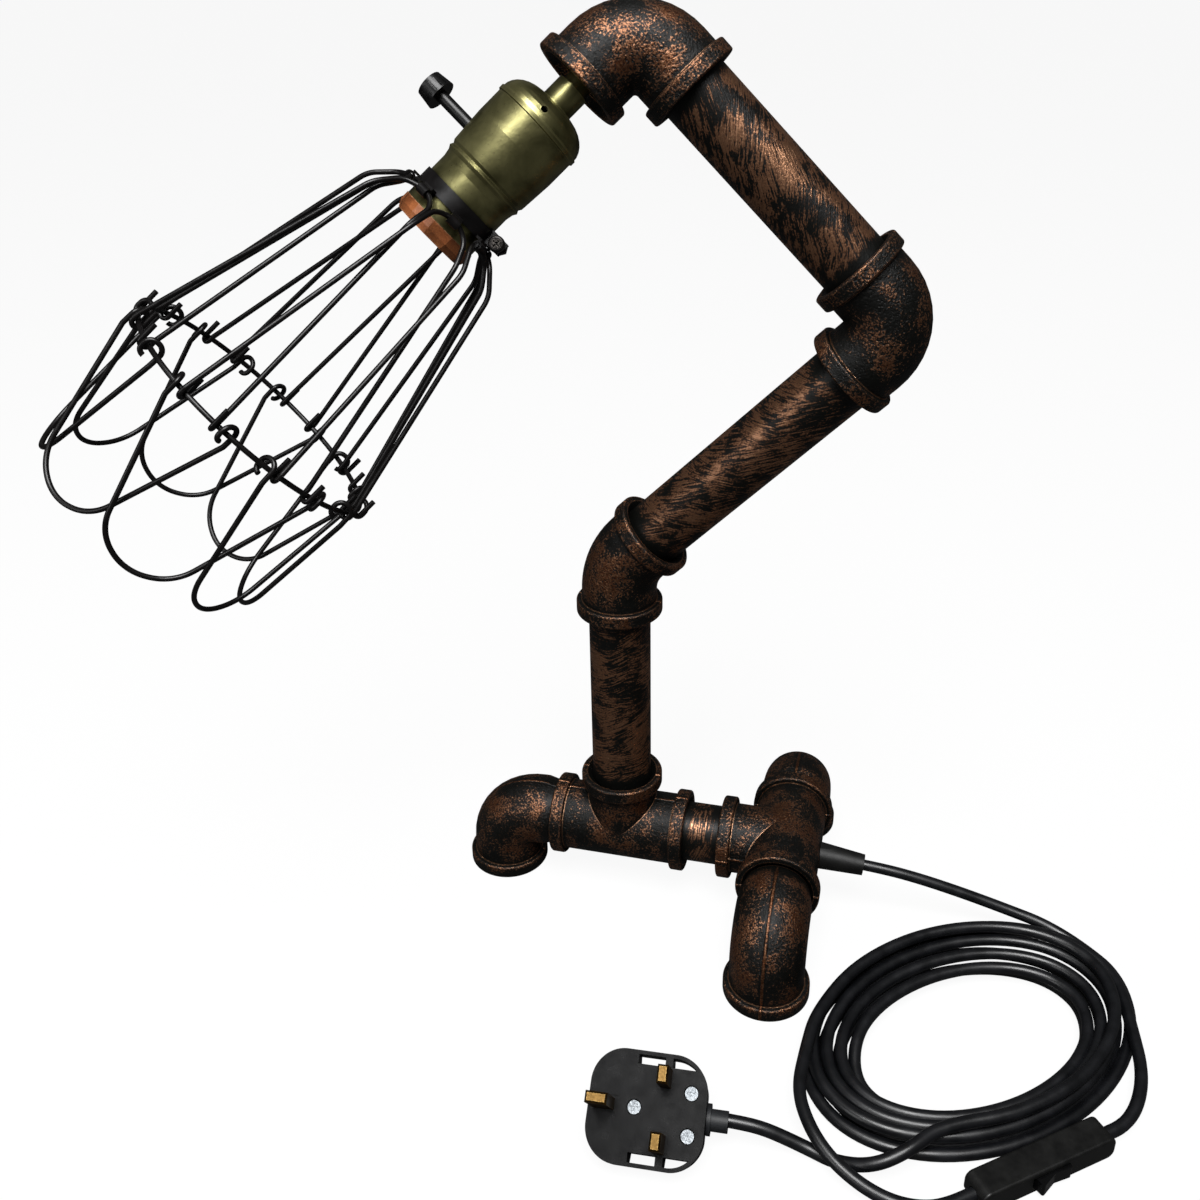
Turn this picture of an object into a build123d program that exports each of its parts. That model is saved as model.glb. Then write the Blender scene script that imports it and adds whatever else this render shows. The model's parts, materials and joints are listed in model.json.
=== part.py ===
from build123d import *
import os
from math import asin, atan2, cos, pi, radians, sin, tan

# An industrial table lamp screwed together from malleable iron pipe fittings. A base of two tees
# stands on three street elbows. A column, a middle pipe and an upper pipe turn in their threads and
# carry a brass lampholder with a wire cage, whose petals fold about its ring. The flex leaves the
# rear tee, lies coiled beside the lamp and carries an inline switch and a three-pin plug.
# Millimetres, +Z up. The model is built with the column's axis at X = Y = 0 and is moved at the end,
# so that its origin is the middle of the bottom of the lamp's own box, without the cord.

# ---------------------------------------------------------------- pipe and fittings
pipe_radius = 13.45         # DN20 pipe
pipe_bore_radius = 10.85
thread_radius = 13.1        # plain envelope of the thread
thread_gap = 0.05           # running clearance of a thread, on the radius
thread_engagement = 13.0    # how far a pipe goes into a fitting
thread_spare = 2.0          # thread left below the pipe's end

fitting_radius = 16.2       # outside of a fitting's body
fitting_bore_radius = 11.0
branch_radius = 15.8        # a tee's branch, a little slimmer than its run
band_radius = 18.65         # reinforcing band round each mouth
band_width = 6.0
band_edge = 0.9             # rounding of the band's edges
mouth_depth = 3.0           # countersink at each mouth
mouth_radius = 16.0
shoulder_depth = 2.2        # how far a pipe's full diameter goes into the countersink
elbow_bend_radius = 17.4    # centreline radius inside an elbow
elbow_reach = 29.5          # elbow's centre to its face
foot_reach = 30.5           # street elbow's centre to its foot, so the height of the base pipes
bend45_reach = 22.8         # 45 degree elbow's centre to its face
bend45_radius = 30.0
tee_run_reach = 31.5
tee_branch_reach = 30.0
street_body_reach = 19.5    # from here a street elbow's male end tapers
street_neck_radius = 14.6   # of the male end, where its thread begins

# ---------------------------------------------------------------- the chain of pipes
nipple_exposed = 16.0       # pipe seen between two fittings
column_exposed = 85.7
middle_exposed = 104.2
upper_exposed = 84.5
foot_exposed = 26.5         # street elbow's centre to the tee's face
lean_angle = 45.0           # turn of the 45 degree elbow
head_turn = 22.9            # how far the head is swung about the upper pipe

# ---------------------------------------------------------------- flex
flex_radius = 2.5
flex_gap = 0.15             # clearance round the flex in a gland
tee_flex_bend = 28.0        # centreline radii of the flex inside the fittings
elbow_flex_bend = 26.0
bend45_flex_bend = 45.0

# ---------------------------------------------------------------- strain relief
gland_drop = 1.3            # its hole is a little below the tee's middle
gland_droop = 5.2           # and the flex's weight bends it down, in degrees
gland_hole_radius = 5.2
gland_root_radius = 6.4
gland_tip_radius = 4.75
gland_tip_station = 36.0    # from the tee's middle
gland_lip_radius = 6.2
gland_lip_width = 2.4
gland_gap = 0.1
gland_flat_width = 11.4     # across the two moulded flats
gland_flex_bend = 120.0

# ---------------------------------------------------------------- lampholder, along the head's axis
# Stations are distances from the top elbow's centre.
bush_length = 9.0
bush_sink = 4.5             # bush's face below the elbow's face
stem_radius = 4.95          # M10 nipple
stem_bore_radius = 3.6
stem_start = 20.5
stem_end = 43.0
neck_radius = 6.3
neck_start = 31.0
dome_start = 39.5
seam_station = 48.0
dome_radius = 17.6
sheet = 0.7                 # brass sheet
seam_lip = 0.55             # crimped seam, proud of the shell
seam_width = 1.6
vent_radius = 1.3
vent_offset = 16.4          # of the vents from the axis
vent_rise = 3.2             # above the seam
dome_steps = 8              # corners of its profile
shell_radius = 17.5
shell_taper_station = 60.0
bead_station = 73.0
bead_radius = 16.7
lower_shell_radius = 15.3
lower_shell_station = 79.5
shell_end = 97.5
shade_ring_length = 6.0
shade_ring_radius = 15.8
shade_ring_sides = 12
shade_ring_chamfer = 1.3
socket_bore_radius = 13.3   # E27 screw shell, plain envelope
screw_shell_wall = 0.35
screw_shell_start = 74.0
insulator_radius = 13.9
insulator_start = 51.0
insulator_gap = 0.15      # between the screw shell and the ring
contact_radius = 4.0
contact_height = 2.4
contact_disc = 0.8          # thickness of its flat root
contact_recess = 2.0        # of the insulator's face round it
contact_gap = 0.1
shell_floor = 0.6           # of the screw shell, on the insulator
shell_floor_hole = 7.0
terminal_radius = 1.8
terminal_gap = 0.1
terminal_offset = 8.5
terminal_head_height = 2.6
terminal_length = 4.0
terminal_slot = (4.6, 0.6, 1.2)
flex_entry = 46.0

# ---------------------------------------------------------------- turn-knob switch
knob_turn = 9.0            # direction of the stem round the head, from the upper pipe's line
switch_station = 65.8
switch_stem_radius = 2.3
switch_stem_inner = 9.2
switch_stem_outer = 34.0
switch_gap = 0.08
switch_slot = (6.0, 6.0, 7.6)   # in the shell: through it, round it and along it
knob_start = 31.6
knob_length = 6.2
knob_root_radius = 5.9
knob_tip_radius = 5.1
knob_ribs = 16
knob_groove = (1.9, 0.8, 4.4)   # between two ribs: deep, wide and long
knob_groove_radius = 6.1
knob_groove_level = 2.8

# ---------------------------------------------------------------- cage
wire_radius = 0.95
wire_gap = 0.18             # clearance between a hook and the ring's wire
collar_start = 86.0
collar_width = 5.4
collar_thickness = 0.9
collar_gap = 0.1
ear_length = 7.0
ear_split = 3.0             # gap between the two ears
ear_thickness = 1.2
ear_station = 88.0
screw_radius = 1.5
screw_head_radius = 3.0
screw_head_height = 2.0
screw_head_round = 0.9
screw_slot = (3.0, 0.7, 1.8)
screw_gap = 0.1
screw_edge = 2.4            # from its centre to the ears' ends
screw_spare = 1.2           # thread beyond the nut
nut_flats = 5.5
nut_height = 2.4
ring_radius = 51.0
ring_station = 192.9
cage_turn = -15.1           # direction of the first petal round the head
wire_loops = 8              # hairpins above the ring, and as many petals below it
hairpin_half_span = 30.5    # of the ring's turn, in degrees
hairpin_top_station = 93.2
hairpin_top_radius = 18.9   # of the wire's line at the collar
hairpin_shoulder = (27.0, 10.2, 10.0)   # corners of one leg: radius, half width, height below the top
hairpin_bend = (20.4, 7.4, 1.8)
hairpin_shoulder_offset = 1.8   # one leg outwards and the other inwards, where neighbours cross
hairpin_bend_offset = 1.1
tab_width = 4.4
tab_roll_radius = 1.9
petal_half_span = 36.0
petal_length = 58.5
petal_tip_radius = 18.0     # of the wire's line round the tip
petal_hook_radius = 3.2
petal_lean = -3.0           # inward lean of the petals, in degrees
hook_tail = 6.5

# ---------------------------------------------------------------- cord, coil, switch and plug
# The coil lies on the table beside the rear foot. Its outline is one oval outside and one inside.
coil_centre = (163.0, -80.0)
coil_step = 30.0            # degrees between the radii below, the first along +X
coil_outer = (63.5, 75.0, 84.0, 78.5, 69.0, 68.0, 70.0, 75.0, 77.0, 64.0, 53.0, 56.0)
coil_inner = (37.5, 55.0, 45.0, 32.0, 29.0, 33.0, 43.0, 51.0, 45.0, 31.0, 26.5, 29.0)
coil_height = 14.5
coil_edge = 3.5
coil_corner = 12.0
lead_route = (              # from the gland down to the top of the coil
    (124.5, 0.0, 24.9),
    (138.0, 0.6, 22.3),
    (152.0, 0.6, 18.0),
    (166.0, -0.6, 12.6),
    (180.0, -2.4, 8.2),
    (193.5, -7.4, 6.4),
    (204.5, -15.5, 5.6),
    (212.0, -26.0, 4.6),
)
tail_route = (              # from the coil towards the plug's sleeve
    (113.0, -130.4, 5.2),
    (102.8, -133.2, 7.6),
    (92.3, -134.8, 10.4),
)
tail_sleeve_run = 8.0       # straight run out of the sleeve

inline_centre = (186.6, -121.9)
inline_turn = 37.0
inline_length = 60.0
inline_depth = 11.6
inline_height = 10.0
inline_edge = 1.1
inline_corner = 3.4
inline_post = (12.0, 2.2)   # holds the contacts
inline_split = 1.8          # of the joint between its two shells, behind its middle
inline_wall = 1.6
inline_clearance = 0.4
rocker_length = 15.0
rocker_width = 5.4
rocker_depth = 6.0
rocker_proud = 2.6
rocker_tilt = 8.0           # to either side of its middle
rocker_gap = 0.35
rocker_end_gap = 0.85       # room for its tilt
rocker_pivot_depth = 6.5    # of its pin behind the tip of its face
rocker_valley = 1.6         # depth of the V in its face
rocker_pin_radius = 1.0
rocker_edge = 0.8
rocker_arm = 3.0            # width of its root

plug_centre = (44.2, -141.2)
plug_turn = 3.7
plug_tilt = 35.0            # slope of the cover's two back faces, and it lies on one of them
plug_half_length = 21.9
plug_half_width = 19.7
plug_corner = 12.6
plug_face_thickness = 5.0
plug_cover_thickness = 14.0
plug_cover_inset = 0.4
plug_side_height = 5.5      # of the cover at its long sides, where its slope begins
plug_cover_edge = 1.2
plug_room_depth = 9.8
plug_room_half_width = 11.2
plug_body_half_width = 15.0
plug_rim = 1.4
plug_gap_start = -5.0       # of the finger gaps, which end at the cord's end
plug_rib_half_width = 1.4
plug_rib_x = 6.6
earth_pin_x = -16.1
line_pin_x = 6.1
line_pin_y = 11.1
earth_pin_section = (8.0, 4.0)
line_pin_section = (4.0, 6.35)
earth_pin_length = 22.7
line_pin_length = 17.7
pin_root = 4.0
pin_chamfer = 0.7
pin_recess = 0.6
pin_recess_margin = 1.1
plug_screw_radius = 2.4
plug_screw_places = ((-4.6, 0.0), (16.0, 7.2), (16.0, -7.2))
plug_screw_depth = 3.4
plug_screw_sink = 0.5
plug_screw_hole = 2.8
plug_screw_slot = (2.8, 0.7, 1.6)
plug_cord_level = -5.0      # the sleeve's axis below the face
plug_sleeve_radius = 3.9
plug_sleeve_length = 8.0
plug_sleeve_gap = 0.15
plug_sleeve_flange = 5.6
plug_sleeve_flange_thickness = 1.6
plug_sleeve_lip = 4.5
plug_sleeve_lip_thickness = 1.6
plug_end_wall = 6.0
fuse_radius = 3.1
fuse_length = 25.4
fuse_shift = 2.5            # from the plug's middle, away from its cord
fuse_gap = 0.3              # below the face

# ---------------------------------------------------------------- places that follow
up = Vector(0, 0, 1)
lean = Vector(cos(radians(90 - lean_angle)), 0, sin(radians(90 - lean_angle)))
rise = Vector(-lean.Z, 0, lean.X)
front_centre = Vector(0, 0, foot_reach)
rear_x = tee_run_reach + nipple_exposed + tee_branch_reach
rear_centre = Vector(rear_x, 0, foot_reach)
foot_offset = tee_run_reach + foot_exposed
column_foot = foot_reach + tee_branch_reach
lower_centre = Vector(0, 0, column_foot + column_exposed + bend45_reach)
middle_centre = lower_centre + lean * (bend45_reach + middle_exposed + elbow_reach)
top_centre = middle_centre + rise * (2 * elbow_reach + upper_exposed)
head_axis = (-lean).rotate(Axis((0, 0, 0), rise), head_turn)

head = Plane(origin=top_centre, x_dir=rise, z_dir=head_axis)
bore_radius = thread_radius + thread_gap
socket_depth = thread_engagement + thread_spare
hook_offset = 2 * wire_radius + wire_gap


def rod(radius, start, end):
    """A cylinder along +Z from one station to another."""
    return Pos(0, 0, start) * Cylinder(radius, end - start, align=(Align.CENTER, Align.CENTER, Align.MIN))


def block(length, width, height):
    """A box on its own XY plane, centred."""
    return Box(length, width, height, align=(Align.CENTER, Align.CENTER, Align.MIN))


def tube(outer, inner, start, end):
    """A hollow cylinder along +Z."""
    return rod(outer, start, end) - rod(inner, start - 1, end + 1)


def cone(start_radius, end_radius, start, end):
    """A frustum along +Z."""
    body = Cone(start_radius, end_radius, end - start, align=(Align.CENTER, Align.CENTER, Align.MIN))
    return Pos(0, 0, start) * body


def at(plane, shape):
    """Move a shape from its own frame onto a plane."""
    return plane.location * shape


def turned(profile):
    """Revolve a closed outline of (radius, station) points about +Z."""
    outline = make_face(Polyline(*[(r, 0, z) for r, z in profile], close=True))
    return revolve(outline, Axis.Z)


def wire_solid(points, radii, radius):
    """A round wire along straight runs with an arc at each corner."""
    path = FilletPolyline(*points, radius=radii)
    section = Plane(origin=path @ 0, z_dir=path % 0) * Circle(radius)
    return sweep(section, path=path)


def arc_radii(points, share=0.45):
    """The largest arc at each corner that leaves a little of both runs straight."""
    radii = []
    for before, here, after in zip(points, points[1:], points[2:]):
        a = Vector(*here) - Vector(*before)
        b = Vector(*after) - Vector(*here)
        turn = radians(a.get_angle(b))
        radii.append(share * min(a.length, b.length) / tan(turn / 2))
    return radii


# ---------------------------------------------------------------- fittings
def band(reach):
    """The band round a mouth whose face is at the given station."""
    ring = rod(band_radius, reach - band_width, reach)
    return fillet(ring.edges(), band_edge)


def mouth(reach):
    """The threaded socket, cut from the face inwards."""
    return rod(bore_radius, reach - socket_depth, reach + 1) + cone(
        bore_radius, mouth_radius, reach - mouth_depth, reach
    )


def elbow_path(angle, bend, first, last):
    """From a point on -Z, round the bend at the origin, to a point at the given angle from +Z."""
    end = Vector(sin(radians(angle)), 0, cos(radians(angle))) * last
    return FilletPolyline((0, 0, -first), (0, 0, 0), (end.X, 0, end.Z), radius=bend)


def swept(path, radius):
    return sweep(Plane(origin=path @ 0, z_dir=path % 0) * Circle(radius), path=path)


def elbow(angle, bend, reach):
    """An elbow whose first mouth faces -Z and whose second is turned by the angle towards +X."""
    path = elbow_path(angle, bend, reach, reach)
    waterway = elbow_path(angle, bend, reach + 1, reach + 1)
    mouths = (Plane((0, 0, 0), x_dir=(1, 0, 0), z_dir=(0, 0, -1)), elbow_plane(angle))
    body = swept(path, fitting_radius)
    for plane in mouths:
        body += at(plane, band(reach))
    body -= swept(waterway, fitting_bore_radius)
    for plane in mouths:
        body -= at(plane, mouth(reach))
    return body


def elbow_plane(angle):
    """The frame of an elbow's second mouth, +Z outwards."""
    z = Vector(sin(radians(angle)), 0, cos(radians(angle)))
    return Plane((0, 0, 0), x_dir=(0, 1, 0), z_dir=z)


def street_elbow():
    """Foot of the base: its mouth faces -Z and stands on the table, its smooth male end is +X."""
    male_end = foot_exposed + thread_engagement
    side = elbow_plane(90)
    path = elbow_path(90, elbow_bend_radius, foot_reach, street_body_reach)
    waterway = elbow_path(90, elbow_bend_radius, foot_reach + 1, male_end + 1)
    foot = Plane((0, 0, 0), x_dir=(1, 0, 0), z_dir=(0, 0, -1))
    body = swept(path, fitting_radius)
    body += at(side, cone(fitting_radius, street_neck_radius, street_body_reach, foot_exposed))
    body += at(side, rod(thread_radius, foot_exposed, male_end))
    body += at(foot, band(foot_reach))
    body -= swept(waterway, fitting_bore_radius - 1.2)
    body -= at(foot, mouth(foot_reach))
    return body


def tee():
    """A tee with its run along X and its branch up +Z."""
    run = (
        Plane((0, 0, 0), x_dir=(0, 1, 0), z_dir=(1, 0, 0)),
        Plane((0, 0, 0), x_dir=(0, 1, 0), z_dir=(-1, 0, 0)),
    )
    body = at(run[0], rod(fitting_radius, -tee_run_reach, tee_run_reach))
    body += rod(branch_radius, 0, tee_branch_reach)
    body += band(tee_branch_reach)
    body -= rod(fitting_bore_radius, 0, tee_branch_reach)
    body -= mouth(tee_branch_reach)
    for plane in run:
        body += at(plane, band(tee_run_reach))
    for plane in run:
        body -= at(plane, rod(fitting_bore_radius, -1, tee_run_reach) + mouth(tee_run_reach))
    return body


def pipe(exposed):
    """A pipe along +Z. It is seen from 0 to its exposed length and goes into a fitting at each end."""
    body = rod(thread_radius, -thread_engagement, exposed + thread_engagement)
    body += rod(pipe_radius, -shoulder_depth, exposed + shoulder_depth)
    return body - rod(pipe_bore_radius, -thread_engagement - 1, exposed + thread_engagement + 1)


# ---------------------------------------------------------------- base
def make_base():
    tee_front = Plane(origin=front_centre, x_dir=(1, 0, 0), z_dir=(0, 0, 1))
    tee_rear = Plane(origin=rear_centre, x_dir=(0, 1, 0), z_dir=(-1, 0, 0))
    front_foot = Plane(origin=front_centre - Vector(foot_offset, 0, 0), x_dir=(1, 0, 0), z_dir=(0, 0, 1))
    near_foot = Plane(origin=rear_centre - Vector(0, foot_offset, 0), x_dir=(0, 1, 0), z_dir=(0, 0, 1))
    far_foot = Plane(origin=rear_centre + Vector(0, foot_offset, 0), x_dir=(0, -1, 0), z_dir=(0, 0, 1))
    nipple_plane = Plane(origin=front_centre + Vector(tee_run_reach, 0, 0), x_dir=(0, 1, 0), z_dir=(1, 0, 0))
    gland_hole = at(gland_plane(), rod(gland_hole_radius, 2, 2 * fitting_radius))
    return {
        "front_foot_elbow": at(front_foot, street_elbow()),
        "front_tee": at(tee_front, tee()),
        "base_nipple": at(nipple_plane, pipe(nipple_exposed)),
        "rear_tee": at(tee_rear, tee()) - gland_hole,
        "near_foot_elbow": at(near_foot, street_elbow()),
        "far_foot_elbow": at(far_foot, street_elbow()),
        "strain_relief": strain_relief(),
        "base_flex": base_flex(),
    }


def gland_plane():
    """The gland's frame: origin near the rear tee's middle, +Z out of its back and a little down."""
    slope = radians(gland_droop)
    origin = rear_centre - Vector(0, 0, gland_drop)
    return Plane(origin=origin, x_dir=(0, 1, 0), z_dir=(cos(slope), 0, -sin(slope)))


def tee_run(radius):
    """A cylinder on the rear tee's run."""
    return Pos(*tuple(rear_centre)) * Rot(90, 0, 0) * Cylinder(radius, 4 * fitting_radius)


def strain_relief():
    """A tapered rubber sleeve with two moulded flats, held in the tee's wall by an inner lip."""
    inside = fitting_bore_radius - gland_lip_width
    sleeve = cone(gland_root_radius, gland_tip_radius, fitting_bore_radius, gland_tip_station)
    flats = block(4 * gland_root_radius, gland_flat_width, 2 * gland_tip_station)
    outer = at(gland_plane(), sleeve & flats) - tee_run(fitting_radius + gland_gap)
    waist = at(gland_plane(), rod(gland_hole_radius - gland_gap, inside, fitting_radius + 1))
    lip = at(gland_plane(), rod(gland_lip_radius, inside / 2, fitting_bore_radius))
    lip = (lip & tee_run(fitting_bore_radius - gland_gap)) - tee_run(inside)
    bore = at(gland_plane(), rod(flex_radius + flex_gap, 0, gland_tip_station + 1))
    return outer + (waist - tee_run(inside)) + lip - bore


def gland_tip():
    """Where the flex leaves the gland, and a point further back on the gland's axis, in the tees' line."""
    plane = gland_plane()
    tip = plane.from_local_coords(Vector(0, 0, gland_tip_station))
    meeting = plane.from_local_coords(Vector(0, 0, -gland_drop / sin(radians(gland_droop))))
    return (tip.X, tip.Y, tip.Z), (meeting.X, meeting.Y, meeting.Z)


def base_flex():
    """Flex from the gland's tip through the rear tee and the nipple, up into the column's foot."""
    tip, meeting = gland_tip()
    route = (tip, meeting, (0, 0, foot_reach), (0, 0, column_foot))
    return wire_solid(route, [gland_flex_bend, tee_flex_bend], flex_radius)


# ---------------------------------------------------------------- arm
def make_arm():
    """Column, middle pipe and upper pipe with their elbows. Each flex piece ends at a turning joint."""
    column = Plane(origin=(0, 0, column_foot), x_dir=(1, 0, 0), z_dir=(0, 0, 1))
    lower = Plane(origin=lower_centre, x_dir=(1, 0, 0), z_dir=(0, 0, 1))
    middle = Plane(origin=lower_centre + lean * bend45_reach, x_dir=(0, 1, 0), z_dir=lean)
    bend = Plane(origin=middle_centre, x_dir=rise, z_dir=lean)
    upper = Plane(origin=middle_centre + rise * elbow_reach, x_dir=(0, 1, 0), z_dir=rise)
    top = Plane(origin=top_centre, x_dir=head_axis, z_dir=rise)
    middle_start = lower_centre + lean * bend45_reach
    upper_start = middle_centre + rise * elbow_reach
    flex_routes = {
        "column_flex": (((0, 0, column_foot), lower_centre, middle_start), bend45_flex_bend),
        "middle_flex": ((middle_start, middle_centre, upper_start), elbow_flex_bend),
        "head_flex": ((upper_start, top_centre, top_centre + head_axis * flex_entry), elbow_flex_bend),
    }
    nodes = {
        "column_pipe": at(column, pipe(column_exposed)),
        "lower_elbow": at(lower, elbow(lean_angle, bend45_radius, bend45_reach)),
        "middle_pipe": at(middle, pipe(middle_exposed)),
        "middle_elbow": at(bend, elbow(90, elbow_bend_radius, elbow_reach)),
        "upper_pipe": at(upper, pipe(upper_exposed)),
        "top_elbow": at(top, elbow(90, elbow_bend_radius, elbow_reach)),
    }
    for name, (route, radius) in flex_routes.items():
        nodes[name] = wire_solid(route, [radius], flex_radius)
    return nodes


# ---------------------------------------------------------------- lampholder
def make_lampholder():
    """Everything here is built along the head's axis and then moved onto the top elbow."""
    pieces = {
        "elbow_bush": elbow_bush(),
        "stem_nipple": tube(stem_radius, stem_bore_radius, stem_start, stem_end),
        "socket_cap": socket_cap(),
        "socket_shell": socket_shell(),
        "shade_ring": shade_ring(),
        "screw_shell": screw_shell(),
        "socket_insulator": socket_insulator(),
        "centre_contact": centre_contact(),
        "terminal_screws": terminal_screws(),
        "switch_stem": switch_stem(),
        "switch_knob": switch_knob(),
    }
    return {name: at(head, shape) for name, shape in pieces.items()}


def elbow_bush():
    """Reducing bush between the elbow's thread and the lampholder's nipple."""
    end = elbow_reach - bush_sink
    return tube(thread_radius, stem_radius, end - bush_length, end)


def socket_cap():
    """Spun dome with a threaded neck, a crimped seam and small vent holes beside the seam."""
    rise_height = seam_station - dome_start
    span = dome_radius - neck_radius
    curve = []
    inner = []
    for i in range(dome_steps + 1):
        turn = pi / 2 * i / dome_steps
        r = neck_radius + span * sin(turn)
        z = seam_station - rise_height * cos(turn)
        curve.append((r, z))
        inner.append((r - sheet * sin(turn), z + sheet * cos(turn)))
    outline = [(stem_radius, neck_start), (neck_radius, neck_start)] + curve
    outline += [(dome_radius - sheet, seam_station)]
    outline += list(reversed(inner[:-1])) + [(stem_radius, inner[0][1])]
    cap = turned(outline)
    for side in (-1, 1):
        hole = Pos(0, side * vent_offset, seam_station - vent_rise) * Sphere(vent_radius)
        cap -= hole
    return cap


def socket_shell():
    """Sheet brass body: crimped lip, straight upper part, two beads, slimmer lower part."""
    outer = [
        (shell_radius + seam_lip, seam_station),
        (shell_radius + seam_lip, seam_station + seam_width),
        (shell_radius, seam_station + seam_width + 0.4),
        (shell_radius, shell_taper_station),
        (bead_radius, bead_station),
        (bead_radius - 0.7, bead_station + 1.2),
        (bead_radius - 0.1, bead_station + 2.4),
        (bead_radius - 0.9, bead_station + 3.8),
        (lower_shell_radius, lower_shell_station),
        (lower_shell_radius, shell_end),
    ]
    inner = [(r - sheet, z) for r, z in reversed(outer[3:])]
    inner += [(shell_radius - sheet, seam_station + seam_width), (shell_radius - sheet, seam_station)]
    shell = turned(outer + inner)
    slot = Pos(shell_radius, 0, switch_station) * Box(*switch_slot)
    return shell - Rot(0, 0, knob_turn) * slot


def shade_ring():
    """Insulating ring at the mouth, with many flats and a chamfered lower row."""
    flat = shade_ring_radius * cos(pi / shade_ring_sides)
    blank = Pos(0, 0, shell_end) * extrude(
        RegularPolygon(flat, shade_ring_sides, major_radius=False), amount=shade_ring_length
    )
    last = blank.faces().sort_by(Axis.Z)[-1]
    blank = chamfer(last.edges(), shade_ring_chamfer, 2 * shade_ring_chamfer, reference=last)
    return blank - rod(socket_bore_radius + screw_shell_wall + insulator_gap, shell_end - 1, shell_end + 20)


def screw_shell():
    """The E27 thread's shell, drawn as its plain envelope, with a flange on the insulator."""
    end = shell_end + shade_ring_length - 1.0
    wall = tube(socket_bore_radius + screw_shell_wall, socket_bore_radius, screw_shell_start, end)
    floor_end = screw_shell_start + shell_floor
    floor = tube(socket_bore_radius + screw_shell_wall, shell_floor_hole, screw_shell_start, floor_end)
    return wall + floor


def socket_insulator():
    """Porcelain block under the screw shell. It holds the terminals and the switch's spindle."""
    start = insulator_start
    body = rod(insulator_radius, start, screw_shell_start)
    spindle = Plane(origin=(0, 0, switch_station), x_dir=(0, 0, 1), z_dir=switch_direction())
    body -= at(spindle, rod(switch_stem_radius + switch_gap, switch_stem_inner - 0.4, 2 * shell_radius))
    body -= rod(contact_radius + contact_gap, screw_shell_start - contact_recess, screw_shell_start + 1)
    for side in (-1, 1):
        hole = rod(terminal_radius + terminal_gap, start - 1, start + terminal_head_height)
        body -= Pos(0, side * terminal_offset, 0) * hole
    return body


def switch_direction():
    """Direction of the switch's stem in the head's frame."""
    return Vector(cos(radians(knob_turn)), sin(radians(knob_turn)), 0)


def centre_contact():
    """Centre contact in the insulator's recess. Its tip stays below the screw shell's floor."""
    start = screw_shell_start - contact_recess
    disc = rod(contact_radius, start, start + contact_disc)
    tip = cone(0.7 * contact_radius, 0.35 * contact_radius, start + contact_disc, start + contact_height)
    return disc + tip


def terminal_screws():
    """Two cheese-head screws, where the flex's cores are held."""
    screws = []
    for side in (-1, 1):
        head_end = insulator_start + terminal_head_height
        screw = Pos(0, side * terminal_offset, 0) * rod(terminal_radius, head_end - terminal_length, head_end)
        slot = Pos(0, side * terminal_offset, head_end - terminal_length) * Box(*terminal_slot)
        screws.append(screw - slot)
    return Compound(children=screws)


def switch_stem():
    """Round stem from the switch's chamber out through the slot in the shell."""
    plane = Plane(origin=(0, 0, switch_station), x_dir=(0, 0, 1), z_dir=switch_direction())
    return at(plane, rod(switch_stem_radius, switch_stem_inner, switch_stem_outer))


def switch_knob():
    """Flared, ribbed knob on the stem's end."""
    plane = Plane(origin=(0, 0, switch_station), x_dir=(0, 0, 1), z_dir=switch_direction())
    knob = cone(knob_root_radius, knob_tip_radius, knob_start, knob_start + knob_length)
    for i in range(knob_ribs):
        groove = Pos(knob_groove_radius, 0, knob_start + knob_groove_level) * Box(*knob_groove)
        knob -= Rot(0, 0, 360 / knob_ribs * i) * groove
    return at(plane, knob - rod(switch_stem_radius, knob_start - 1, switch_stem_outer))


# ---------------------------------------------------------------- cage
def make_cage():
    """Collar with its screw and nut, ring, hairpins and petals, all in the head's frame."""
    pieces = {
        "cage_collar": cage_collar(),
        "collar_screw": collar_screw(),
        "collar_nut": collar_nut(),
        "cage_ring": Pos(0, 0, ring_station) * Torus(ring_radius, wire_radius),
    }
    long_loop = hairpin()
    short_loop = petal()
    for i in range(wire_loops):
        turn = Rot(0, 0, cage_turn - 360 / wire_loops * i)
        pieces[f"hairpin_{i + 1}"] = turn * long_loop
        pieces[f"petal_{i + 1}"] = turn * short_loop
    return {name: at(head, shape) for name, shape in pieces.items()}


def ear_plane():
    """The ears stand out between two tabs. The clamp screw crosses them along +Z of this frame."""
    turn = radians(cage_turn + 180 + 180 / wire_loops)
    out = Vector(cos(turn), sin(turn), 0)
    across = Vector(-sin(turn), cos(turn), 0)
    return Plane(origin=(0, 0, ear_station), x_dir=out, z_dir=across)


def cage_collar():
    """Strip collar with a split and two ears, and a rolled tab over each hairpin's bend."""
    inner = lower_shell_radius + collar_gap
    outer = inner + collar_thickness
    strip = tube(outer, inner, collar_start, collar_start + collar_width)
    gap = Pos(inner + ear_length / 2, 0, 0) * Box(2 * ear_length, 2 * collar_width, ear_split)
    strip -= at(ear_plane(), gap)
    for side in (-1, 1):
        middle = side * (ear_split + ear_thickness) / 2
        ear = Pos(inner + ear_length / 2, 0, middle) * Box(ear_length, collar_width, ear_thickness)
        strip += at(ear_plane(), ear) - rod(inner + collar_thickness / 2, 0, shell_end)
    screw_hole = rod(screw_radius + screw_gap, -ear_length, ear_length)
    strip -= at(ear_plane(), Pos(screw_centre(), 0, 0) * screw_hole)
    for i in range(wire_loops):
        strip += Rot(0, 0, cage_turn - 360 / wire_loops * i) * collar_tab(outer)
    return strip


def screw_centre():
    """Distance of the clamp screw from the head's axis."""
    return lower_shell_radius + collar_gap + ear_length - screw_edge


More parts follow.
